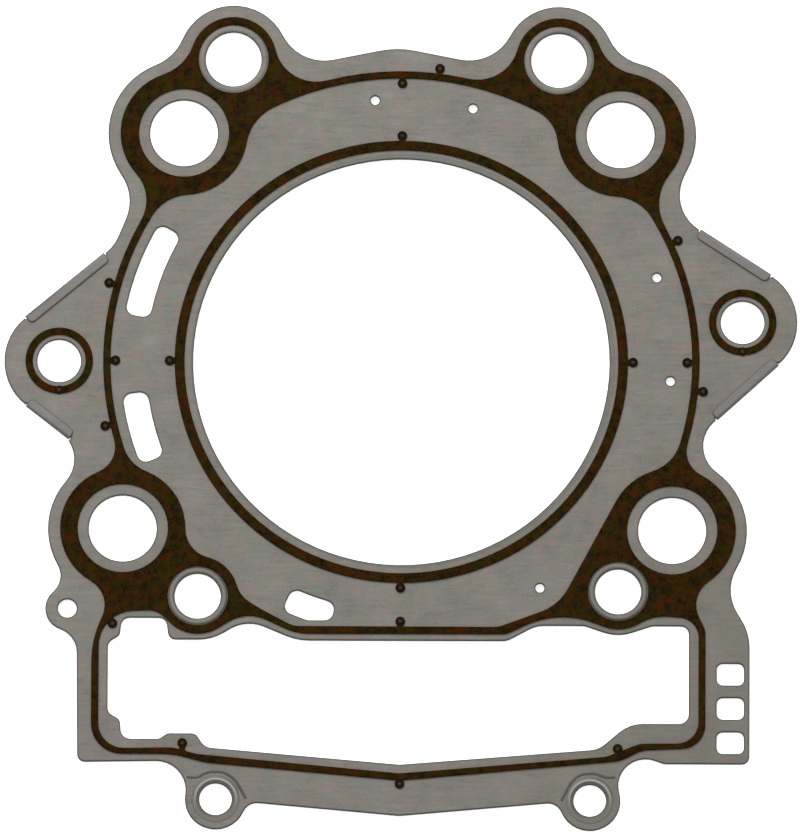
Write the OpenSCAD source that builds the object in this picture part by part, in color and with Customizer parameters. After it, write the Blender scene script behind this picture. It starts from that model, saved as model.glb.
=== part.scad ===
// Cylinder base gasket: two steel sheets held together by four folded tabs, with sealing beads moulded
// on both faces. The origin lies on the bore axis where the two sheets meet, +Z points up out of the
// front face and -Y points towards the timing chain window.

/* [Sheets] */
// Thickness of each steel sheet
sheet_t = 0.42; // [0.4:0.02:0.6]
// Width of steel between an upper stud hole and the outer edge
stud_land = 8.6; // [7.5:0.1:9.5]
// Width of steel between a lower stud hole and the outer edge
lower_stud_land = 8.4; // [7.5:0.1:9.5]
// Width of steel round an upper bolt hole
upper_bolt_land = 5.65; // [5:0.05:6.2]
// Width of steel between a lower bolt hole and the chain window
lower_bolt_land = 4.3; // [4:0.1:4.6]
// Width of steel round an ear hole
ear_land = 6.8; // [6:0.1:7.5]
// Width of steel round a lug hole
lug_land = 2.95; // [2.5:0.05:3.3]
// Width of steel round the locating hole
locating_land = 2.6; // [2.2:0.1:3]

/* [Bore] */
// Diameter of the bore
bore_d = 85.8; // [83:0.1:87]

/* [Stud holes] */
// Diameter of the four stud holes
stud_d = 14; // [13:0.1:15]
// Distance between the two upper stud holes
upper_stud_span = 90.1; // [88:0.1:92]
// Height of the upper stud holes above the bore axis
upper_stud_y = 48.2; // [47.5:0.1:49]
// Distance of the lower left stud hole from the bore axis, to the left
lower_stud_left = 57.2; // [56.5:0.1:58]
// Distance of the lower right stud hole from the bore axis, to the right
lower_stud_right = 55.9; // [55.2:0.1:56.6]
// Distance of both lower stud holes below the bore axis
lower_stud_y = 35.4; // [34.8:0.1:36]

/* [Bolt holes] */
// Diameter of the two upper bolt holes
upper_bolt_d = 11.5; // [10.5:0.1:12]
// Distance of the upper left bolt hole from the bore axis, to the left
upper_bolt_left = 34.9; // [34.4:0.1:35.4]
// Distance of the upper right bolt hole from the bore axis, to the right
upper_bolt_right = 32.3; // [31.8:0.1:32.8]
// Height of the upper bolt holes above the bore axis
upper_bolt_y = 63.9; // [63.4:0.1:64.6]
// Diameter of the two lower bolt holes
lower_bolt_d = 9.5; // [9:0.1:10]
// Distance of the lower left bolt hole from the bore axis, to the left
lower_bolt_left = 41.7; // [41.2:0.1:42.2]
// Distance of the lower left bolt hole below the bore axis
lower_bolt_left_y = 49.6; // [49.2:0.1:50]
// Distance of the lower right bolt hole from the bore axis, to the right
lower_bolt_right = 44.8; // [44.3:0.1:45.3]
// Distance of the lower right bolt hole below the bore axis
lower_bolt_right_y = 48.3; // [47.9:0.1:48.8]

/* [Ears] */
// Diameter of the two ear holes
ear_d = 9; // [8:0.1:9.6]
// Distance of the left ear hole from the bore axis, to the left
left_ear_x = 70.5; // [69:0.1:72]
// Height of the left ear hole above the bore axis
left_ear_y = -0.1; // [-1:0.1:1]
// Distance of the right ear hole from the bore axis, to the right
right_ear_x = 70.3; // [69:0.1:72]
// Height of the right ear hole above the bore axis
right_ear_y = 8.6; // [7.8:0.1:9.4]
// Width of a folded tab, seen from above
tab_w = 2.1; // [1.6:0.1:2.6]

/* [Lugs] */
// Diameter of the two lug holes
lug_d = 6.7; // [6.2:0.1:7]
// Distance of the left lug hole from the bore axis, to the left
lug_left = 37.8; // [37.2:0.1:38.4]
// Distance of the right lug hole from the bore axis, to the right
lug_right = 39.1; // [38.6:0.1:39.6]
// Distance of both lug holes below the bore axis
lug_y = 92.3; // [91.8:0.1:93]

/* [Small holes] */
// Diameter of the locating hole
locating_d = 3.9; // [3:0.1:4.4]
// Distance of the locating hole from the bore axis, to the left
locating_x = 68.5; // [68:0.1:69]
// Distance of the locating hole below the bore axis
locating_y = 52.3; // [51.8:0.1:52.8]
// Diameter of the five bleed holes
bleed_d = 1.9; // [1:0.1:2.6]
// Distance between the middle of the bleed holes and the jacket bead
bleed_gap = 4.35; // [3.4:0.05:6]
// Width of the coolant slots
slot_w = 5.2; // [4:0.1:5.6]
// Distance between the coolant slots and the jacket bead
slot_gap = 2.1; // [1.6:0.05:2.6]

/* [Chain window] */
// Distance of the window's left wall from the bore axis
window_left = 60.1; // [59.8:0.1:60.4]
// Distance of the window's right wall from the bore axis
window_right = 59.4; // [59:0.1:59.8]
// Distance of the window's upper edge below the bore axis
window_top = 55.5; // [55.2:0.1:55.8]
// Distance of the window's lowest point below the bore axis
window_apex = 84.9; // [84.4:0.1:85.2]
// Width of steel left of the window
frame_left_w = 6.2; // [6:0.1:7]
// Width of steel right of the window
frame_right_w = 12.5; // [12:0.1:13.5]
// Distance of the lower outer corners below the bore axis
frame_bottom = 84.5; // [84:0.1:85]
// Distance of the lowest point of the middle edge below the bore axis
edge_apex = 95.6; // [95:0.1:96.2]
// Width of the three plain windows by the right edge
mark_w = 5.6; // [4.5:0.1:6]
// Height of the three plain windows by the right edge
mark_h = 4.6; // [3:0.1:5.2]

/* [Seals] */
// Height of the sealing beads above the steel
bead_h = 0.44; // [0.3:0.02:0.6]
// Width of the bead round the bore
bore_bead_w = 2; // [1.4:0.1:2.4]
// Distance between the bore's edge and its bead
bore_bead_gap = 1.8; // [1.2:0.1:2.4]
// Width of the bead round the coolant jacket
jacket_bead_w = 1.5; // [1.2:0.1:2]
// Distance of the jacket bead's middle line from the bore axis
jacket_bead_r = 60.7; // [60.4:0.1:61]
// Distance between the outer edge of the steel and the fields round the studs
seal_margin = 2.5; // [2:0.1:3]
// Bare ring between a stud hole and the field round it
stud_clear = 2.3; // [1.6:0.05:2.8]
// Bare ring between a bolt hole and the field round it
bolt_clear = 1.45; // [1:0.05:1.6]
// Distance between the chain window and the bead round it
window_bead_gap = 1.9; // [1.6:0.1:2.2]
// Width of the bead round the chain window
window_bead_w = 1.5; // [1.2:0.1:1.8]
// Bare ring between an ear hole and its bead
ear_bead_gap = 0.95; // [0.7:0.05:1.4]
// Width of the bead round an ear hole
ear_bead_w = 1.5; // [1.1:0.1:2]
// Diameter of the gate dots beside the beads
gate_d = 2; // [1.6:0.1:2.2]
// Width of the neck between a gate dot and its bead
gate_neck_w = 1.2; // [0.8:0.1:1.5]
// Height of the pressed rims round the lug and lower bolt holes
rim_h = 0.2; // [0.1:0.02:0.3]

/* [Hidden] */
$fn = 48;

steel_colour = [0.55, 0.54, 0.51];
back_steel_colour = [0.5, 0.49, 0.47];
seal_colour = [0.13, 0.1, 0.08];

// How far an arc's chords may stand off the true arc, and the shortest edge that an outline keeps
chord_error = 0.03;
shortest_edge = 0.02;

// Hole centres, seen from above
bore = [0, 0];
stud_ul = [-upper_stud_span / 2, upper_stud_y];
stud_ur = [upper_stud_span / 2, upper_stud_y];
stud_ll = [-lower_stud_left, -lower_stud_y];
stud_lr = [lower_stud_right, -lower_stud_y];
bolt_ul = [-upper_bolt_left, upper_bolt_y];
bolt_ur = [upper_bolt_right, upper_bolt_y];
bolt_ll = [-lower_bolt_left, -lower_bolt_left_y];
bolt_lr = [lower_bolt_right, -lower_bolt_right_y];
ear_l = [-left_ear_x, left_ear_y];
ear_r = [right_ear_x, right_ear_y];
lug_l = [-lug_left, -lug_y];
lug_r = [lug_right, -lug_y];
locating = [-locating_x, -locating_y];
bleed_angles = [95.8, 74.8, 18.9, -4, -58.9];
bead_inner_r = jacket_bead_r - jacket_bead_w / 2;
bleed_r = bead_inner_r - bleed_gap;
slot_far = bead_inner_r - slot_gap;
slot_near = slot_far - slot_w;
slot_corner_r = 1.8;

// Outer walls of the frame round the chain window
wall_l = -window_left - frame_left_w;
wall_r = window_right + frame_right_w;

// An outline is a list of rounds, each a centre and a radius, taken anticlockwise. A positive radius
// bulges outwards and a negative one is a hollow. Straight lines run between them along the tangents.

function round_at(centre, r) = [centre, r];

function unit(a) = [cos(a), sin(a)];

function limit(x, low, high) = max(low, min(high, x));

// The round of radius r that touches rounds a and b, on the right of the way from a to b
function between(a, b, r) =
    let (from_b = abs(b[1] - r), from_a = abs(a[1] - r), v = a[0] - b[0], d = norm(v),
        along = (d * d + from_b * from_b - from_a * from_a) / (2 * d),
        aside = sqrt(max(0, from_b * from_b - along * along)))
    [b[0] + (along * v + aside * [-v.y, v.x]) / d, r];

// The same, on the left
function between_left(a, b, r) = between(b, a, r);

// Direction of the straight line that leaves round a and reaches round b
function heading(a, b) =
    let (v = b[0] - a[0])
    atan2(v.y, v.x) - asin(limit((b[1] - a[1]) / norm(v), -1, 1));

// Where the line with that direction touches a round
function touch(a, direction) = a[0] + a[1] * [sin(direction), -cos(direction)];

// Turn from one direction to another, the way the round bends
function turn(from, to, r) =
    let (t = r > 0 ? to - from : from - to, whole = t - 360 * floor(t / 360), part = whole > 340 ? 0 : whole)
    r > 0 ? part : -part;

function arc_points(a, from, to) =
    let (t = turn(from, to, a[1]),
        step = 2 * acos(1 - chord_error / max(abs(a[1]), 2 * chord_error)),
        n = max(1, ceil(abs(t) / step)))
    [for (i = [0:n]) touch(a, from + t * i / n)];

// Points of the outline round a list of rounds, each radius grown by the given amount
function outline(rounds, grow = 0) =
    let (n = len(rounds),
        grown = [for (a = rounds) [a[0], a[1] + grow]],
        ways = [for (i = [0:n - 1]) heading(grown[i], grown[(i + 1) % n])],
        points = [for (i = [0:n - 1]) each arc_points(grown[i], ways[(i + n - 1) % n], ways[i])],
        m = len(points))
    [for (i = [0:m - 1]) if (norm(points[i] - points[(i + m - 1) % m]) > shortest_edge) points[i]];

// Lands of steel round the holes
stud_r = stud_d / 2 + stud_land;
lower_stud_r = stud_d / 2 + lower_stud_land;
upper_bolt_r = upper_bolt_d / 2 + upper_bolt_land;
land_ul = round_at(stud_ul, stud_r);
land_ur = round_at(stud_ur, stud_r);
land_ll = round_at(stud_ll, lower_stud_r);
land_lr = round_at(stud_lr, lower_stud_r);
land_bolt_ul = round_at(bolt_ul, upper_bolt_r);
land_bolt_ur = round_at(bolt_ur, upper_bolt_r);
ear_in = 0.5;
land_ear_l = round_at(ear_l + [ear_in, 0], ear_d / 2 + ear_land + ear_in);
land_ear_r = round_at(ear_r - [ear_in, 0], ear_d / 2 + ear_land + ear_in);
land_lug_l = round_at(lug_l, lug_d / 2 + lug_land);
land_lug_r = round_at(lug_r, lug_d / 2 + lug_land);
land_locating = round_at(locating, locating_d / 2 + locating_land);

// A hollow of radius r that leaves a land at the given angle
function hollow(land, angle, r) = round_at(land[0] + (land[1] + r) * unit(angle), -r);

// A tighter hollow of radius r inside another one, which it touches at the given angle
function nested(a, angle, r) = round_at(a[0] + (-a[1] - r) * unit(angle), -r);

// Hollows on both sides of the ears, between which their straight flanks run
flank_ul = round_at(stud_ul - [21.4, 18.7], -8.6);
flank_ll = hollow(land_ll, 140, 7.3);
flank_lr = hollow(land_lr, 53.5, 6.95);
shoulder_ur = hollow(land_ur, -28.8, 12.2);
flank_ur = nested(shoulder_ur, 167.5, 8.7);

roof_r = 18.4;
roof = round_at([-1, bolt_ul.y + 2.35 - roof_r], roof_r);
wall_corner_r = 1.6;
lower_edge = -frame_bottom;
edge_apex_r = 3;

sheet_rounds = [
    roof,
    hollow(land_bolt_ul, 26.5, 9.5),
    land_bolt_ul,
    between(land_bolt_ul, land_ul, -10.2),
    land_ul,
    hollow(land_ul, 214.3, 10),
    flank_ul,
    land_ear_l,
    flank_ll,
    land_ll,
    between(land_ll, land_locating, -4.7),
    land_locating,
    hollow(land_locating, -109, 5.1),
    round_at([wall_l + wall_corner_r, lower_edge + wall_corner_r], wall_corner_r),
    hollow(land_lug_l, 171, 6.1),
    land_lug_l,
    hollow(land_lug_l, -23.2, 2.9),
    round_at([0, edge_apex_r - edge_apex], edge_apex_r),
    hollow(land_lug_r, 202, 2.9),
    land_lug_r,
    hollow(land_lug_r, 15.7, 5.6),
    round_at([land_lug_r[0].x + 15.6, lower_edge + 2], 2),
    round_at([wall_r - wall_corner_r, lower_edge + wall_corner_r], wall_corner_r),
    round_at([wall_r - 11.6, -60.1], 11.6),
    hollow(land_lr, -30, 9.4),
    land_lr,
    flank_lr,
    land_ear_r,
    flank_ur,
    shoulder_ur,
    land_ur,
    between(land_ur, land_bolt_ur, -9.4),
    land_bolt_ur,
    hollow(land_bolt_ur, 153, 9.5),
];

// Window for the timing chain
bolt_hollow_r = lower_bolt_d / 2 + lower_bolt_land;
window_rounds = [
    round_at([0, 3 - window_apex], 3),
    round_at([38.9, -76.8], 4.9),
    round_at([lug_r.x + 10.9, lug_r.y + 8.7], -7.5),
    round_at([window_right - 2, -74.1], 2),
    round_at([window_right - 1.6, -window_top - 1.6], 1.6),
    round_at([bolt_lr.x + 7.5, -window_top - 3], 3),
    round_at(bolt_lr, -bolt_hollow_r),
    round_at([bolt_lr.x - 7.4, -window_top - 3], 3),
    round_at([29.5, -window_top - 6], 6),
    round_at([21, -54.75], -4),
    round_at([-18.7, -46.5], -12.3),
    round_at([-31, -window_top + 0.2 - 7.6], 7.6),
    round_at([bolt_ll.x + 0.1, -48.5], -10.2),
    round_at([bolt_ll.x - 4.5, -57.1], -1.6),
    round_at([bolt_ll.x - 7.9, -55.8], 1.65),
    round_at([4.4 - window_left, -55.9], 1.75),
    round_at([1.2 - window_left, -57.1], -1.3),
    round_at([1.7 - window_left, -60.3], 1.7),
    round_at([1.7 - window_left, -73.2], 1.7),
    round_at([1.35 - window_left, -76.4], -1.25),
    round_at([4.7 - window_left, -77.7], 2),
    round_at([10.1 - window_left, -78.15], 1.55),
    round_at([lug_l.x - 9.5, -80], -1.5),
    round_at([lug_l.x - 5, -80], -1.5),
    round_at([lug_l.x - 0.8, -79], 2.55),
];

// Edges of the jacket seal. The bead follows two circles round the jacket, and widens into a field
// round each stud and bolt pair.
jacket_in = round_at(bore, bead_inner_r);
jacket_out = round_at(bore, bead_inner_r + jacket_bead_w);
field_r = stud_r - seal_margin;
lower_field_r = lower_stud_r - seal_margin;
bolt_field_r = upper_bolt_r - seal_margin;
field_ul = round_at(stud_ul, field_r);
field_ur = round_at(stud_ur, field_r);
field_ll = round_at(stud_ll, lower_field_r);
field_lr = round_at(stud_lr, field_r);
field_bolt_ul = round_at(bolt_ul, bolt_field_r);
field_bolt_ur = round_at(bolt_ur, bolt_field_r);

function inward(a) = round_at(a[0], -a[1]);

bead_in_l = -window_left - window_bead_gap;
bead_out_l = bead_in_l - window_bead_w;
bead_in_r = window_right + window_bead_gap;
bead_out_r = bead_in_r + window_bead_w;

seal_outer_rounds = [
    jacket_out,
    between(jacket_out, field_bolt_ul, -8.6),
    field_bolt_ul,
    between(field_bolt_ul, field_ul, -9.8),
    field_ul,
    between(field_ul, jacket_out, -8.6),
    jacket_out,
    between(jacket_out, field_ll, -5.6),
    field_ll,
    hollow(field_ll, -120.4, 5.9),
    round_at([bead_out_l + 21, -63.4], 21),
    round_at([bead_out_l + 6.4, -76.5], 6.4),
    round_at([-49, -100.9], -18),
    round_at([-38.3, -76], 8.8),
    round_at([0, 3 - window_apex - window_bead_gap - window_bead_w], 3),
    round_at([43.4, -77.4], 6.8),
    round_at([51.2, -87.2], -5.5),
    round_at([bead_out_r - 5, -76.4], 5),
    round_at([bead_out_r - 4.6, -57.4], 4.6),
    hollow(field_lr, -55, 6),
    field_lr,
    between(field_lr, jacket_out, -5.7),
    jacket_out,
    between(jacket_out, field_ur, -10),
    field_ur,
    between(field_ur, field_bolt_ur, -9.4),
    field_bolt_ur,
    between(field_bolt_ur, jacket_out, -8.5),
];

bolt_strip_r = bolt_hollow_r - window_bead_gap * 0.55;
top_bead_y = window_bead_gap * 0.9 - window_top;
jacket_floor = -55.9;
short_slot_gap = 1.3;
bolt_strip_w = 0.35;
field_bolt_ll = round_at(bolt_ll, -bolt_strip_r - bolt_strip_w);
floor_sweep_r = 46.2;
floor_sweep = round_at([-5.6, jacket_floor - 2.6 + floor_sweep_r], floor_sweep_r);
seal_jacket_rounds = [
    jacket_in,
    between(jacket_in, inward(field_ur), 9),
    inward(field_ur),
    between(inward(field_ur), jacket_in, 7.8),
    jacket_in,
    between(jacket_in, inward(field_ul), 10),
    inward(field_ul),
    between(inward(field_ul), jacket_in, 9),
    jacket_in,
    between(jacket_in, inward(field_ll), 7.8),
    inward(field_ll),
    between_left(inward(field_ll), field_bolt_ll, 6.2),
    field_bolt_ll,
    between(field_bolt_ll, floor_sweep, 6),
    floor_sweep,
    round_at([-21, jacket_floor + 4], 4),
    round_at([19.5, jacket_floor + 4], 4),
    round_at([25.35, -43], 10.3),
    inward(field_lr),
    between(inward(field_lr), jacket_in, 8.8),
];

seal_window_rounds = [
    round_at([0, 3 - window_apex - window_bead_gap], 3),
    round_at([41, -76.9], 6.35),
    round_at([50.5, -86.35], -6),
    round_at([bead_in_r - 4.4, -75.8], 4.5),
    round_at([bead_in_r - 4.1, top_bead_y - 4.15], 4.2),
    round_at([bolt_lr.x + 9.7, top_bead_y + 0.25 - 10], 10),
    round_at(bolt_lr, -bolt_strip_r),
    round_at([bolt_lr.x - 11.3, top_bead_y - 18], 18),
    round_at([21, -53.45], -4),
    round_at([-18.6, -45.2], -12.3),
    round_at([-31, top_bead_y - 8], 8),
    round_at(bolt_ll, -bolt_strip_r),
    round_at([-51.7, -56.9], 4.2),
    round_at([bead_in_l + 7.3, -60.1], 7.3),
    round_at([bead_in_l + 5.3, -76.4], 5.3),
    round_at([-47.5, -88.55], -7),
    round_at([-41, -78], 4.95),
];

// Gate dots stand beside the beads, each on a short neck. The dots along the chain window are given by
// the spot on the bead's edge and the way from there to the dot.
gate_stand = gate_d / 2 + 0.05;
neck_sink = 0.8;
apex_gate_sink = 0.35;
ear_gate_extra = 0.3;
bore_bead_outer_r = bore_d / 2 + bore_bead_gap + bore_bead_w;
outer_gate_angles = [82.9, 164.8, 192.8, 24.4, -5.6];
window_gates = [
    [[-59.9, -54.7], -48],
    [[-44.7, -81.65], 90],
    [[44.8, -82.5], 90],
    [[0, apex_gate_sink - window_apex - window_bead_gap - window_bead_w], -90],
];

module at_each(places) {
    for (p = places) {
        translate(p) children();
    }
}

module coolant_slot(first, last) {
    r = slot_corner_r;
    far_in = asin(r / (slot_far - r));
    near_in = asin(r / (slot_near + r));
    polygon(outline([
        round_at(bore, slot_far),
        round_at((slot_far - r) * unit(last - far_in), r),
        round_at((slot_near + r) * unit(last - near_in), r),
        round_at(bore, -slot_near),
        round_at((slot_near + r) * unit(first + near_in), r),
        round_at((slot_far - r) * unit(first + far_in), r),
    ]));
}

// The lower slot, cut off level above the jacket seal's floor
module short_slot(first, last) {
    r = slot_corner_r;
    centre_y = jacket_floor + short_slot_gap + r;
    near_in = asin(r / (slot_near + r));
    polygon(outline([
        round_at([-sqrt(pow(slot_far - r, 2) - pow(centre_y, 2)), centre_y], r),
        round_at([(r + centre_y * cos(last)) / sin(last), centre_y], r),
        round_at((slot_near + r) * unit(last - near_in), r),
        round_at(bore, -slot_near),
        round_at((slot_near + r) * unit(first + near_in), r),
        round_at((slot_far - r) * unit(first + asin(r / (slot_far - r))), r),
        round_at(bore, slot_far),
    ]));
}

module plain_window() {
    r = 1.2;
    polygon(outline([
        round_at([mark_w / 2 - r, mark_h / 2 - r], r),
        round_at([r - mark_w / 2, mark_h / 2 - r], r),
        round_at([r - mark_w / 2, r - mark_h / 2], r),
        round_at([mark_w / 2 - r, r - mark_h / 2], r),
    ]));
}

module sheet_holes() {
    circle(d = bore_d, $fn = 180);
    at_each([stud_ul, stud_ur, stud_ll, stud_lr]) circle(d = stud_d);
    at_each([bolt_ul, bolt_ur]) circle(d = upper_bolt_d);
    at_each([bolt_ll, bolt_lr]) circle(d = lower_bolt_d);
    at_each([ear_l, ear_r]) circle(d = ear_d);
    at_each([lug_l, lug_r]) circle(d = lug_d);
    translate(locating) circle(d = locating_d);
    at_each([for (a = bleed_angles) bleed_r * unit(a)]) circle(d = bleed_d, $fn = 24);
    coolant_slot(149.8, 170.1);
    coolant_slot(187, 202.2);
    short_slot(245.1, 255.4);
    polygon(outline(window_rounds));
    at_each([for (i = [0:2]) [wall_r - 1.15 - mark_w / 2, -80.05 + 7.2 * i]]) plain_window();
}

// Tabs of the back sheet, folded over the flanks of the ears: the ear's land, the way along the flank
// from the ear, which side of it the steel lies on, and where the tab starts and ends
fold_in_r = sheet_t / 2;
fold_out_r = fold_in_r + sheet_t;
fold_inset = 0.35;
fold_gap = 0.05;
relief_side = 0.3;
tabs = [
    [touch(land_ear_l, heading(flank_ul, land_ear_l)), heading(flank_ul, land_ear_l) + 180, true, 0.2, 21],
    [touch(land_ear_l, heading(land_ear_l, flank_ll)), heading(land_ear_l, flank_ll), false, 0.2, 11.2],
    [touch(land_ear_r, heading(flank_lr, land_ear_r)), heading(flank_lr, land_ear_r) + 180, true, 0.2, 17.1],
    [touch(land_ear_r, heading(land_ear_r, flank_ur)), heading(land_ear_r, flank_ur), false, 0.2, 17.3],
];

module at_tabs() {
    for (t = tabs) {
        translate(t[0]) rotate(t[1]) mirror([0, t[2] ? 1 : 0, 0]) translate([t[3], 0]) {
            $tab_l = t[4];
            children();
        }
    }
}

// One sheet, with its edge cut back along the folds so that the tabs' bends clear it
module flat_sheet(fold_depth) {
    difference() {
        linear_extrude(sheet_t) difference() {
            polygon(outline(sheet_rounds));
            sheet_holes();
        }
        at_tabs() translate([-relief_side, -2, -1]) cube([$tab_l + 2 * relief_side, 2 + fold_depth, 3]);
    }
}

module folded_tab() {
    r = 0.9;
    flap_w = tab_w - fold_out_r + fold_inset;
    rotate([90, 0, 90]) linear_extrude($tab_l) translate([fold_inset, fold_in_r]) {
        difference() {
            circle(r = fold_out_r, $fn = 48);
            circle(r = fold_in_r, $fn = 48);
            translate([0, -1]) square(2);
        }
    }
    translate([0, 0, sheet_t]) linear_extrude(sheet_t) polygon(outline([
        round_at([0, fold_inset], 0),
        round_at([$tab_l, fold_inset], 0),
        round_at([$tab_l - r, flap_w - r], r),
        round_at([r, flap_w - r], r),
    ]));
}

// Section of a pressed rim between two radii, with sloping flanks, seen as a cut through its upper half
module rim_section(inner_r, outer_r, h) {
    slope = 0.3 * (outer_r - inner_r);
    polygon([[inner_r, 0], [outer_r, 0], [outer_r - slope, h], [inner_r + slope, h]]);
}

// Rims pressed up round the lug holes and the bolt holes. The upper ones are shallow.
module at_rims() {
    for (p = [lug_l, lug_r]) {
        translate(p) rotate_extrude() rim_section(lug_d / 2 + 0.3, lug_d / 2 + 1.6, rim_h);
    }
    for (p = [bolt_ll, bolt_lr]) {
        translate(p) rotate_extrude() rim_section(lower_bolt_d / 2 + 0.1, lower_bolt_d / 2 + bolt_clear - 0.1, rim_h);
    }
    for (p = [bolt_ul, bolt_ur]) {
        translate(p) rotate_extrude() rim_section(upper_bolt_d / 2 + 0.1, upper_bolt_d / 2 + bolt_clear - 0.1, rim_h / 2);
    }
}

module front_sheet() {
    color(steel_colour) difference() {
        union() {
            flat_sheet(fold_inset + fold_gap);
            translate([0, 0, sheet_t]) at_rims();
        }
        at_rims();
    }
}

module back_sheet() {
    color(back_steel_colour) union() {
        translate([0, 0, -sheet_t]) flat_sheet(fold_inset);
        at_tabs() folded_tab();
    }
}

module ring(inner_r, outer_r) {
    difference() {
        circle(r = outer_r, $fn = 120);
        circle(r = inner_r, $fn = 120);
    }
}

module gate(spot, way) {
    translate(spot) rotate(way) {
        translate([gate_stand, 0]) circle(d = gate_d, $fn = 32);
        translate([-neck_sink, -gate_neck_w / 2]) square([neck_sink + gate_stand, gate_neck_w]);
    }
}

module bore_seal_plan(gates) {
    ring(bore_bead_outer_r - bore_bead_w, bore_bead_outer_r);
    if (gates) {
        for (a = [0:90:270]) {
            gate(bore_bead_outer_r * unit(a), a);
        }
    }
}

module ear_seal_plan(centre, gates) {
    inner_r = ear_d / 2 + ear_bead_gap;
    translate(centre) {
        ring(inner_r, inner_r + ear_bead_w);
        if (gates) {
            translate([0, -inner_r - ear_bead_w / 2]) circle(d = ear_bead_w + ear_gate_extra, $fn = 32);
        }
    }
}

module jacket_seal_plan(gates) {
    difference() {
        polygon(outline(seal_outer_rounds));
        polygon(outline(seal_jacket_rounds));
        polygon(outline(seal_window_rounds));
        at_each([stud_ul, stud_ur, stud_ll, stud_lr]) circle(r = stud_d / 2 + stud_clear);
        at_each([bolt_ul, bolt_ur]) circle(r = upper_bolt_d / 2 + bolt_clear);
        at_each([bolt_ll, bolt_lr]) circle(r = lower_bolt_d / 2 + bolt_clear);
    }
    if (gates) {
        for (a = [0:90:180]) {
            gate(jacket_in[1] * unit(a), a + 180);
        }
        for (a = outer_gate_angles) {
            gate(jacket_out[1] * unit(a), a);
        }
        for (g = window_gates) {
            gate(g[0], g[1]);
        }
        gate([0, jacket_floor], 90);
    }
}

// Beads stand on the front face, or on the back face upside down
module front_bead() {
    color(seal_colour) translate([0, 0, sheet_t]) linear_extrude(bead_h) children();
}

module back_bead() {
    color(seal_colour) translate([0, 0, -sheet_t - bead_h]) linear_extrude(bead_h) children();
}

module front_bore_seal() {
    front_bead() bore_seal_plan(true);
}

module front_jacket_seal() {
    front_bead() jacket_seal_plan(true);
}

module front_left_ear_seal() {
    front_bead() ear_seal_plan(ear_l, true);
}

module front_right_ear_seal() {
    front_bead() ear_seal_plan(ear_r, true);
}

module back_bore_seal() {
    back_bead() bore_seal_plan(false);
}

module back_jacket_seal() {
    back_bead() jacket_seal_plan(false);
}

module back_left_ear_seal() {
    back_bead() ear_seal_plan(ear_l, false);
}

module back_right_ear_seal() {
    back_bead() ear_seal_plan(ear_r, false);
}

front_sheet();
back_sheet();
front_bore_seal();
front_jacket_seal();
front_left_ear_seal();
front_right_ear_seal();
back_bore_seal();
back_jacket_seal();
back_left_ear_seal();
back_right_ear_seal();
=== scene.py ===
import math

import bmesh
import bpy
from mathutils import Matrix, Vector


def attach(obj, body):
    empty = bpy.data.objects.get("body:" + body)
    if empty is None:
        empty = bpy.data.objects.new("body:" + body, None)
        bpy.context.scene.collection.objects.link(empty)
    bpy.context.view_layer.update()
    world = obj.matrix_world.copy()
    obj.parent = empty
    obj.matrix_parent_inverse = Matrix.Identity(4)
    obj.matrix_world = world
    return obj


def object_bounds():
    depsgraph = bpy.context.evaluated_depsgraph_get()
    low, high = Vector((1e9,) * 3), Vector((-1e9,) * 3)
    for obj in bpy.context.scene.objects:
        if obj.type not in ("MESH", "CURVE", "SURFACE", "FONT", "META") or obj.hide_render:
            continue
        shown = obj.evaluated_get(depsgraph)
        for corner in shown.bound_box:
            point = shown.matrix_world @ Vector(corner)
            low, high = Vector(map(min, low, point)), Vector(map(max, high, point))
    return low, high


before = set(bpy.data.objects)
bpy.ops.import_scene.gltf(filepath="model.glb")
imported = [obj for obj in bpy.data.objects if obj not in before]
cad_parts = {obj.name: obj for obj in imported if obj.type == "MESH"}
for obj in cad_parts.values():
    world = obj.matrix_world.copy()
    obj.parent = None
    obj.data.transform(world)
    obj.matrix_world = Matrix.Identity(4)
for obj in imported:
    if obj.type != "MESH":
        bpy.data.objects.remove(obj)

# A cylinder base gasket, seen from above as it lies on a pale floor. Blender's lengths are in metres.
# The places and widths that the finishes and the folds follow are in millimetres from the middle of the bore.

CAD_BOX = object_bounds()
MM = 0.001

# The photograph's frame: its size in pixels, one pixel's width on the gasket and the point in its middle
PHOTO_SIZE = (800, 832)
PIXEL = 0.206 * MM
MIDDLE = Vector((-0.224 * MM, -11.48 * MM, 0.42 * MM))

# The camera: how far it is tipped and rolled, how far away it stands, and its sensor's width
TILT = math.radians(12.7)
ROLL = math.radians(0.25)
CAMERA_DISTANCE = 7.0
SENSOR = 36.0

# The light: the strength of the white all round, and the soft lamp's place, width and power
SKY_STRENGTH = 0.83
LAMP_PLACE = (-0.25, 0.7, 0.9)
LAMP_SIZE = 0.6
LAMP_POWER = 10.5

# The front sheet's top face, and the height above which folded tabs and the tops of rims are duller
SHEET_TOP = 0.42
PROUD_FLOOR = 0.6

# The widths of the chamfer on punched edges and of the round on moulded ones
PUNCHED_EDGE = 0.09
MOULDED_EDGE = 0.19

# The darker strip beside the bore: its middle, the radii where it fades out and those of the line round it
STRIP_MIDDLE = (0.3, 0.2)
STRIP_END = (43.5, 43.65)
STRIP_LINE = (43.6, 43.7)

# The lugs' holes, and the radii of their pressed rims: where the throat's painted shade and the slope's
# brownish tint end, and those of two bright bands, a painted highlight on the crest and painted light on the
# shoulder
LUGS = ((-37.8, -92.3), (39.1, -92.3))
THROAT_END = (3.75, 4.0)
SLOPE_END = (4.3, 4.7)
CREST = (4.08, 4.38)
SHOULDER = (4.6, 4.9)

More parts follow.
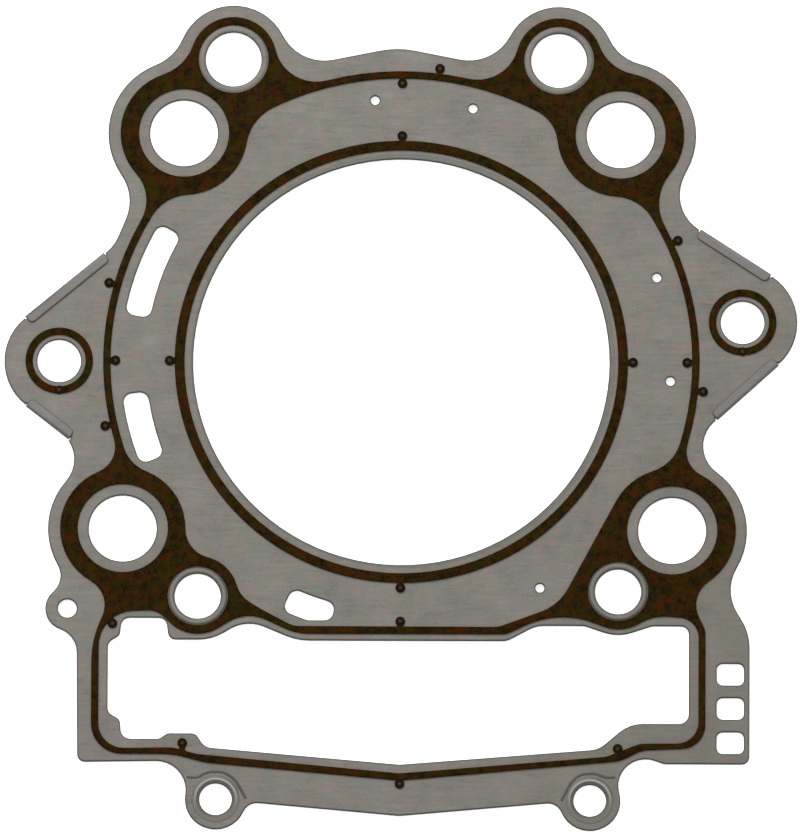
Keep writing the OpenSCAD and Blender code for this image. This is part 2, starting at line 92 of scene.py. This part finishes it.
# Gate dots beside the beads: those on rings round the bore by radius and angles, then the others by middles
GATE_RINGS = (
    (47.75, (0, 90, 180, 270)),
    (58.9, (0, 90, 180)),
    (62.5, (82.9, 164.8, 192.8, 24.4, -5.6)),
)
GATE_SPOTS = (
    (0, -54.85), (-59.2, -55.48), (-44.7, -80.6), (44.8, -81.45), (0, -89), (-70.5, -6.3), (70.3, 2.4),
)

# A gate dot's moat, painted dark as shade, and the pip in its middle, painted pale as a highlight, by radius
MOAT = (0.6, 0.9)
PIP_END = (0.15, 0.4)

# The fold pressed over each lug's hole, from side to side, measured from the hole's middle
LEFT_FOLD = (
    (-6.1, 4.7), (-5.1, 4.5), (-3.55, 4.65), (-2.7, 5.15), (-1.7, 5.55), (-0.45, 5.75), (0.8, 5.7),
    (2.0, 5.35), (3.25, 4.6), (4.3, 3.55), (4.9, 2.5), (5.5, 1.45), (6.1, 0.4), (6.35, 0.0),
)
RIGHT_FOLD = (
    (-5.85, -0.3), (-5.55, 0.5), (-5.05, 1.5), (-4.55, 2.4), (-3.9, 3.65), (-3.1, 4.55), (-2.05, 5.3),
    (-0.8, 5.6), (0.8, 5.65), (2.05, 5.3), (3.2, 4.9), (4.1, 4.85), (5.3, 4.9),
)

# A fold's section: half its width, its height, how far its rim and its foot lie in the sheet, and how far
# from its ends it starts to fade
FOLD_HALF_WIDTH = 0.4
FOLD_HEIGHT = 0.1
FOLD_SINK = 0.01
FOLD_FOOT = 0.15
FOLD_FADE = 0.5


def from_srgb(red, green, blue):
    """A colour as a paint chart gives it, from 0 to 255, as the linear colour that a shader takes."""
    def linear(value):
        value = value / 255
        return value / 12.92 if value <= 0.04045 else ((value + 0.055) / 1.055) ** 2.4
    return (linear(red), linear(green), linear(blue), 1.0)


# The steel's colours: the coating's deeper and paler grey, then tints that lie over it in places, painted
# light and shade on the rims, and painted shade along edges, on folds, on slopes and at punched edges
COAT_DEEP = from_srgb(88, 85, 79)
COAT_PALE = from_srgb(116, 112, 105)
COAT_LOWER_RIGHT = from_srgb(90, 86, 74)
COAT_PROUD = from_srgb(101, 97, 99)
STRIP_GREY = from_srgb(84, 86, 78)
STRIP_LINE_GREY = from_srgb(70, 69, 64)
# Painted shade, a brownish tint, a painted highlight and painted light on the lugs' rims
THROAT_SHADE_GREY = from_srgb(70, 70, 66)
SLOPE_BROWN = from_srgb(92, 82, 60)
CREST_HIGHLIGHT_GREY = from_srgb(156, 154, 145)
SHOULDER_LIGHT_GREY = from_srgb(150, 147, 139)
# Painted shade from here on, though the cut walls' grey is partly the bare cut steel
EDGE_SHADE_GREY = from_srgb(44, 43, 40)
FOLD_SHADE_GREY = from_srgb(66, 64, 59)
SLOPE_SHADE_GREY = from_srgb(74, 73, 69)
CUT_WALL_AND_SHADE = from_srgb(50, 49, 46)
CHAMFER_SHADE_BLACK = from_srgb(12, 12, 11)

# The sealing compound's colours: its deeper and paler brown, then the painted shade and highlight of the gate
# dots and the painted shade on the beads' flanks
BROWN_DEEP = from_srgb(10, 5, 0)
BROWN_PALE = from_srgb(42, 28, 4)
MOAT_SHADE_BLACK = from_srgb(9, 8, 8)
PIP_HIGHLIGHT_BROWN = from_srgb(72, 58, 44)
BEAD_FLANK_SHADE = from_srgb(12, 9, 8)

# Tints that lie in patches: patches to the millimetre, the noise where they start and where they are full,
# how much they cover and their colour
COAT_TINTS = (
    (0.34, 0.45, 0.7, 0.7, from_srgb(96, 102, 88)),
    (0.51, 0.45, 0.7, 0.7, from_srgb(114, 100, 93)),
    (0.73, 0.48, 0.7, 0.5, from_srgb(98, 99, 102)),
)
BROWN_TINTS = (
    (0.52, 0.48, 0.64, 0.65, from_srgb(54, 18, 2)),
    (0.61, 0.48, 0.64, 0.5, from_srgb(30, 33, 0)),
    (0.83, 0.56, 0.68, 0.55, from_srgb(9, 9, 20)),
)


class Field:
    """A number that varies over a surface. Sums of fields add the nodes that work them out."""

    def __init__(self, finish, socket):
        self.finish = finish
        self.socket = socket

    def maths(self, operation, a, b):
        return self.finish.node("ShaderNodeMath", {"operation": operation}, {0: a, 1: b})

    def __add__(self, other):
        return self.maths("ADD", self, other)

    def __radd__(self, other):
        return self.maths("ADD", other, self)

    def __sub__(self, other):
        return self.maths("SUBTRACT", self, other)

    def __rsub__(self, other):
        return self.maths("SUBTRACT", other, self)

    def __mul__(self, other):
        return self.maths("MULTIPLY", self, other)

    def __rmul__(self, other):
        return self.maths("MULTIPLY", other, self)

    def __gt__(self, other):
        return self.maths("GREATER_THAN", self, other)

    def least(self, other):
        return self.maths("MINIMUM", self, other)


class Finish:
    """One material and the nodes that make it. Its places are in millimetres."""

    def __init__(self, name):
        self.material = bpy.data.materials.new(name)
        self.material.use_nodes = True
        self.tree = self.material.node_tree
        self.shader = self.tree.nodes["Principled BSDF"]
        metres = self.node("ShaderNodeTexCoord", {}, {}, "Object")
        self.places = self.vector("MULTIPLY", metres, (1000, 1000, 1000))

    def plug(self, value, socket):
        if isinstance(value, Field):
            self.tree.links.new(value.socket, socket)
        else:
            socket.default_value = value

    def node(self, kind, settings, inputs, output=0):
        """Adds a node: first its settings, then the values or links of its sockets."""
        node = self.tree.nodes.new(kind)
        for name, value in settings.items():
            setattr(node, name, value)
        for name, value in inputs.items():
            self.plug(value, node.inputs[name])
        return Field(self, node.outputs[output])

    def vector(self, operation, a, b, output="Vector"):
        return self.node("ShaderNodeVectorMath", {"operation": operation}, {0: a, 1: b}, output)

    def stretched(self, x, y, z):
        """The place on the surface, with each direction scaled."""
        return self.vector("MULTIPLY", self.places, (x, y, z))

    def along(self, x, y, z):
        """How far the place lies along a direction."""
        return self.vector("DOT_PRODUCT", self.places, (x, y, z), "Value")

    def nearest(self, spots):
        """How far the place is, seen from above, from the nearest of these spots."""
        flat = self.stretched(1, 1, 0)
        gaps = [self.vector("DISTANCE", flat, (x, y, 0), "Value") for x, y in spots]
        least = gaps[0]
        for gap in gaps[1:]:
            least = least.least(gap)
        return least

    def noise(self, place, scale, detail=2.0, rough=0.5):
        inputs = {"Vector": place, "Scale": scale, "Detail": detail, "Roughness": rough}
        return self.node("ShaderNodeTexNoise", {}, inputs, "Fac")

    def smooth(self, value, low, high):
        """0 below low, 1 above high and a soft step between."""
        inputs = {"Value": value, "From Min": low, "From Max": high}
        return self.node("ShaderNodeMapRange", {"interpolation_type": "SMOOTHSTEP"}, inputs, "Result")

    def within(self, value, low, high):
        """1 below low, 0 above high and a soft step between."""
        return 1 - self.smooth(value, low, high)

    def band(self, value, low, high, soft):
        """1 between low and high, with soft ends outside them."""
        return self.smooth(value, low - soft, low) * self.within(value, high, high + soft)

    def mix(self, factor, a, b):
        """A colour between a and b."""
        return self.node("ShaderNodeMix", {"data_type": "RGBA"}, {0: factor, 6: a, 7: b}, 2)

    def tinted(self, colour, tints):
        """The colour with soft patches of each tint over it."""
        for scale, start, full, cover, tint in tints:
            patches = self.smooth(self.noise(self.places, scale), start, full)
            colour = self.mix(cover * patches, colour, tint)
        return colour

    def level(self):
        """1 where the surface lies flat and 0 where it stands upright."""
        normal = self.node("ShaderNodeNewGeometry", {}, {}, "Normal")
        height = self.node("ShaderNodeSeparateXYZ", {}, {0: normal}, "Z")
        return self.node("ShaderNodeMath", {"operation": "ABSOLUTE"}, {0: height})

    def from_edge(self, width):
        """About a half at a sharp outer edge, rising to 1 at this many millimetres from it."""
        settings = {"inside": True, "only_local": True, "samples": 8}
        return self.node("ShaderNodeAmbientOcclusion", settings, {"Distance": width * MM}, "AO")

    def bump(self, height, strength, depth):
        """A bump of this depth in millimetres."""
        inputs = {"Height": height, "Strength": strength, "Distance": depth * MM}
        return self.node("ShaderNodeBump", {}, inputs, "Normal")

    def give(self, **values):
        """Sets the shader's sockets, named with spaces as underscores."""
        for name, value in values.items():
            self.plug(value, self.shader.inputs[name.replace("_", " ")])
        return self.material


def bore_strip(finish, coat):
    """The coat with a darker strip along the bore and a thin line round it."""
    from_bore = finish.nearest((STRIP_MIDDLE,))
    coat = finish.mix(0.5 * finish.within(from_bore, *STRIP_END), coat, STRIP_GREY)
    return finish.mix(0.35 * finish.band(from_bore, *STRIP_LINE, 0.12), coat, STRIP_LINE_GREY)


def pressed_rims(finish, coat):
    """The coat on the lugs' rims, with light and shade painted in: painted shade in the throat and a painted
    highlight on the crest in the upper half of each, and a brownish slope and faint painted light on the
    shoulder in the lower half."""
    from_lug = finish.nearest(LUGS)
    lug_y = LUGS[0][1]
    upper = finish.smooth(finish.along(0, 1, 0), lug_y - 2.5, lug_y + 3)
    lower = 1 - upper
    coat = finish.mix(0.45 * (finish.within(from_lug, *THROAT_END) * upper), coat, THROAT_SHADE_GREY)
    coat = finish.mix(0.4 * (finish.within(from_lug, *SLOPE_END) * lower), coat, SLOPE_BROWN)
    coat = finish.mix(0.6 * (finish.band(from_lug, *CREST, 0.1) * upper), coat, CREST_HIGHLIGHT_GREY)
    return finish.mix(0.3 * (finish.band(from_lug, *SHOULDER, 0.1) * lower), coat, SHOULDER_LIGHT_GREY)


def coated_steel(name, fold_shade):
    """Thin grey coating on rolled sheet: faint streaks from the rolls, soft greenish, pinkish and bluish
    clouds and fine grain, and duller where it stands proud. Painted shade darkens it on slopes, along sharp
    edges and at punched edges, and the lugs' rims carry painted light and shade. What stands just above the
    sheet is darkened by the given amount of painted shade."""
    finish = Finish(name)
    streaks = finish.noise(finish.stretched(0.16, 1.5, 0.4), 1.0, 3.0, 0.6)
    clouds = finish.noise(finish.places, 0.12, 3.0, 0.55)
    grain = finish.noise(finish.places, 2.2, 3.0, 0.65)
    tone = finish.smooth(0.3 * streaks + 0.35 * clouds + 0.35 * grain, 0.34, 0.66)
    coat = finish.tinted(finish.mix(tone, COAT_DEEP, COAT_PALE), COAT_TINTS)
    # A darker, warmer tint that grows towards the lower right.
    toward_lower_right = finish.smooth(finish.along(0.9, -0.45, 0), 40, 105)
    coat = bore_strip(finish, finish.mix(0.4 * toward_lower_right, coat, COAT_LOWER_RIGHT))

    height = finish.along(0, 0, 1)
    proud = height > PROUD_FLOOR
    coat = pressed_rims(finish, finish.mix(0.4 * proud, coat, COAT_PROUD))
    # Painted shade: a dark band along every sharp edge, fainter on what stands proud.
    edge_shade = finish.within(finish.from_edge(0.4), 0.7, 0.98)
    coat = finish.mix((0.75 - 0.5 * proud) * edge_shade, coat, EDGE_SHADE_GREY)
    # Painted shade on the folds: what stands just above the sheet darkens towards its crest.
    raised = finish.smooth(height, SHEET_TOP, SHEET_TOP + 0.08)
    coat = finish.mix(fold_shade * raised, coat, FOLD_SHADE_GREY)

    level = finish.level()
    # Painted shade on slopes, by how steeply the surface stands.
    coat = finish.mix(0.15 * finish.within(level, 0.86, 0.985), coat, SLOPE_SHADE_GREY)
    # Punched edges: walls partly bare cut steel, partly painted shade; chamfers near black with painted shade
    cut_edge = finish.within(level, 0.72, 0.86) * (1 - 0.8 * proud)
    cut = finish.mix(finish.band(level, 0.6, 0.76, 0.06), CUT_WALL_AND_SHADE, CHAMFER_SHADE_BLACK)
    return finish.give(
        Base_Color=finish.mix(cut_edge, coat, cut),
        Metallic=0.25 + 0.6 * cut_edge,
        Roughness=0.48 + 0.14 * grain - 0.1 * cut_edge,
        Normal=finish.bump(0.6 * streaks + 0.4 * grain, 0.22, 0.02),
    )


def elastomer():
    """Dull dark moulded sealing compound: brown with rusty, olive and dusky mottles, with painted shade on
    its flanks, and in each gate dot of the front a moat painted dark as shade and a small pip painted pale as
    a highlight."""
    finish = Finish("elastomer")
    mottle = finish.noise(finish.places, 0.7, 3.0, 0.6)
    grain = finish.noise(finish.places, 2.4, 2.0, 0.6)
    shade = finish.smooth(0.6 * mottle + 0.4 * grain, 0.35, 0.65)
    brown = finish.tinted(finish.mix(shade, BROWN_DEEP, BROWN_PALE), BROWN_TINTS)

    ring_gates = [
        (radius * math.cos(math.radians(angle)), radius * math.sin(math.radians(angle)))
        for radius, angles in GATE_RINGS for angle in angles
    ]
    from_gate = finish.nearest((*ring_gates, *GATE_SPOTS))
    front = finish.along(0, 0, 1) > SHEET_TOP
    # Gate dots: painted shade in the moat and a painted highlight on the pip, which the bump also dents.
    pip = finish.within(from_gate, *PIP_END) * front
    brown = finish.mix(0.75 * (finish.band(from_gate, *MOAT, 0.15) * front), brown, MOAT_SHADE_BLACK)
    brown = finish.mix(0.6 * pip, brown, PIP_HIGHLIGHT_BROWN)

    # Painted shade on the beads' rounded flanks.
    flank_shade = finish.within(finish.level(), 0.5, 0.97)
    return finish.give(
        Base_Color=finish.mix(0.65 * flank_shade, brown, BEAD_FLANK_SHADE),
        Roughness=0.62 + 0.16 * mottle,
        Specular_IOR_Level=0.07,
        Specular_Tint=(1.0, 0.7, 0.3, 1.0),
        Normal=finish.bump(0.5 * grain - 0.4 * pip, 0.4, 0.04),
    )


def paper_floor():
    """Plain white studio floor."""
    finish = Finish("studio_floor")
    return finish.give(
        Base_Color=(0.9, 0.9, 0.9, 1.0),
        Roughness=0.9,
        Specular_IOR_Level=0.0,
        Emission_Color=(1.0, 1.0, 1.0, 1.0),
        Emission_Strength=0.6,
    )


def dress(node, finish):
    """Gives a node of the frame its finish."""
    for place in node.material_slots:
        place.material = finish


def round_edges(node, radius, segments):
    """Rounds a piece's edges, as a mould or a punch leaves them. Its flat faces are made whole first."""
    weld = node.modifiers.new("weld", "WELD")
    weld.merge_threshold = 0.002 * MM
    whole = node.modifiers.new("whole_flats", "DECIMATE")
    whole.decimate_type = "DISSOLVE"
    whole.angle_limit = math.radians(0.5)
    bevel = node.modifiers.new("rounded_edges", "BEVEL")
    bevel.width = radius * MM
    bevel.segments = segments
    bevel.limit_method = "ANGLE"
    bevel.angle_limit = math.radians(50)
    bevel.use_clamp_overlap = False


def dress_gasket():
    """The two sheets and the eight seals, each in its own finish."""
    steel = coated_steel("coated_steel", 0.0)
    rubber = elastomer()
    for name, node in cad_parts.items():
        if name.endswith("sheet"):
            dress(node, steel)
            round_edges(node, PUNCHED_EDGE, 1)
        else:
            dress(node, rubber)
            round_edges(node, MOULDED_EDGE, 4)


def flowing(points, steps):
    """A smooth line through points, with this many steps between one and the next."""
    ends = [2 * points[0] - points[1], *points, 2 * points[-1] - points[-2]]
    line = []
    for before, start, end, after in zip(ends, ends[1:], ends[2:], ends[3:]):
        for step in range(steps):
            t = step / steps
            straight = 2 * start + (end - before) * t
            bend = (2 * before - 5 * start + 4 * end - after) * t ** 2
            turn = (3 * start - before - 3 * end + after) * t ** 3
            line.append(0.5 * (straight + bend + turn))
    return [*line, points[-1]]


def fold_section(place, side, swell):
    """One section of a fold, as points: the ridge from one side to the other, then its foot in the sheet."""
    steps = 10
    section = []
    for step in range(steps + 1):
        offset = FOLD_HALF_WIDTH * (2 * step / steps - 1)
        rise = swell * FOLD_HEIGHT * (0.5 + 0.5 * math.cos(math.pi * offset / FOLD_HALF_WIDTH))
        section.append(place + side * offset + Vector((0, 0, SHEET_TOP - FOLD_SINK + rise)))
    for offset in (FOLD_HALF_WIDTH, -FOLD_HALF_WIDTH):
        section.append(place + side * offset + Vector((0, 0, SHEET_TOP - FOLD_FOOT)))
    return section


def fold_mesh(name, line):
    """A closed soft ridge along a line, fading out at both ends."""
    mesh = bmesh.new()
    sections = []
    for index, place in enumerate(line):
        way = (line[min(index + 1, len(line) - 1)] - line[max(index - 1, 0)]).normalized()
        side = Vector((-way.y, way.x, 0))
        from_end = min((place - line[0]).length, (place - line[-1]).length)
        swell = math.sin(0.5 * math.pi * min(1, from_end / FOLD_FADE)) ** 2
        sections.append([mesh.verts.new(point * MM) for point in fold_section(place, side, swell)])
    for near, far in zip(sections, sections[1:]):
        for a, b in zip(range(len(near)), [*range(1, len(near)), 0]):
            mesh.faces.new((near[a], near[b], far[b], far[a]))
    mesh.faces.new(sections[0][::-1])
    mesh.faces.new(sections[-1])
    bmesh.ops.recalc_face_normals(mesh, faces=mesh.faces)
    data = bpy.data.meshes.new(name)
    mesh.to_mesh(data)
    mesh.free()
    data.shade_smooth()
    data.set_sharp_from_angle(angle=math.radians(50))
    return data


def pressed_fold(name, hole, points, steel):
    """A low soft ridge in the front sheet along points measured from a hole's middle."""
    data = fold_mesh(name, flowing([Vector((hole[0] + x, hole[1] + y, 0)) for x, y in points], 5))
    data.materials.append(steel)
    piece = bpy.data.objects.new(name, data)
    bpy.context.scene.collection.objects.link(piece)
    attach(piece, "root")


def add_floor():
    """A floor just under the lowest seals."""
    low = CAD_BOX[0][2]
    bpy.ops.mesh.primitive_plane_add(size=3.0, location=(0, 0, low - 0.02 * MM))
    floor = bpy.context.object
    floor.name = "studio_floor"
    floor.data.materials.append(paper_floor())


def add_light():
    """Even white light from all round, with a square soft lamp on the upper left that faces the gasket."""
    world = bpy.data.worlds.new("studio")
    bpy.context.scene.world = world
    world.use_nodes = True
    sky = world.node_tree.nodes["Background"]
    sky.inputs["Color"].default_value = (1.0, 1.0, 1.0, 1.0)
    sky.inputs["Strength"].default_value = SKY_STRENGTH
    data = bpy.data.lights.new("soft_lamp", "AREA")
    data.size = LAMP_SIZE
    data.energy = LAMP_POWER
    lamp = bpy.data.objects.new("soft_lamp", data)
    bpy.context.scene.collection.objects.link(lamp)
    lamp.location = LAMP_PLACE
    lamp.rotation_euler = (-Vector(LAMP_PLACE)).to_track_quat("-Z", "Y").to_euler()


def add_camera():
    """A long lens that looks down on the gasket, tipped a little towards its lower edge."""
    data = bpy.data.cameras.new("photograph")
    data.sensor_width = SENSOR
    data.lens = SENSOR * CAMERA_DISTANCE / (max(PHOTO_SIZE) * PIXEL)
    data.clip_end = 2 * CAMERA_DISTANCE
    camera = bpy.data.objects.new("photograph", data)
    bpy.context.scene.collection.objects.link(camera)
    back = Vector((0, -math.sin(TILT), math.cos(TILT)))
    up = Vector((0, math.cos(TILT), math.sin(TILT)))
    right = Vector((1, 0, 0))
    rolled_right = math.cos(ROLL) * right + math.sin(ROLL) * up
    rolled_up = math.cos(ROLL) * up - math.sin(ROLL) * right
    turn = Matrix((rolled_right, rolled_up, back)).transposed().to_4x4()
    camera.matrix_world = Matrix.Translation(MIDDLE + CAMERA_DISTANCE * back) @ turn
    bpy.context.scene.camera = camera


bpy.context.scene.view_settings.view_transform = "Standard"
dress_gasket()
# The folds' steel, with painted shade along their ridges.
fold_finish = coated_steel("pressed_steel", 0.28)
pressed_fold("left_lug_fold", LUGS[0], LEFT_FOLD, fold_finish)
pressed_fold("right_lug_fold", LUGS[1], RIGHT_FOLD, fold_finish)
add_floor()
add_light()
add_camera()
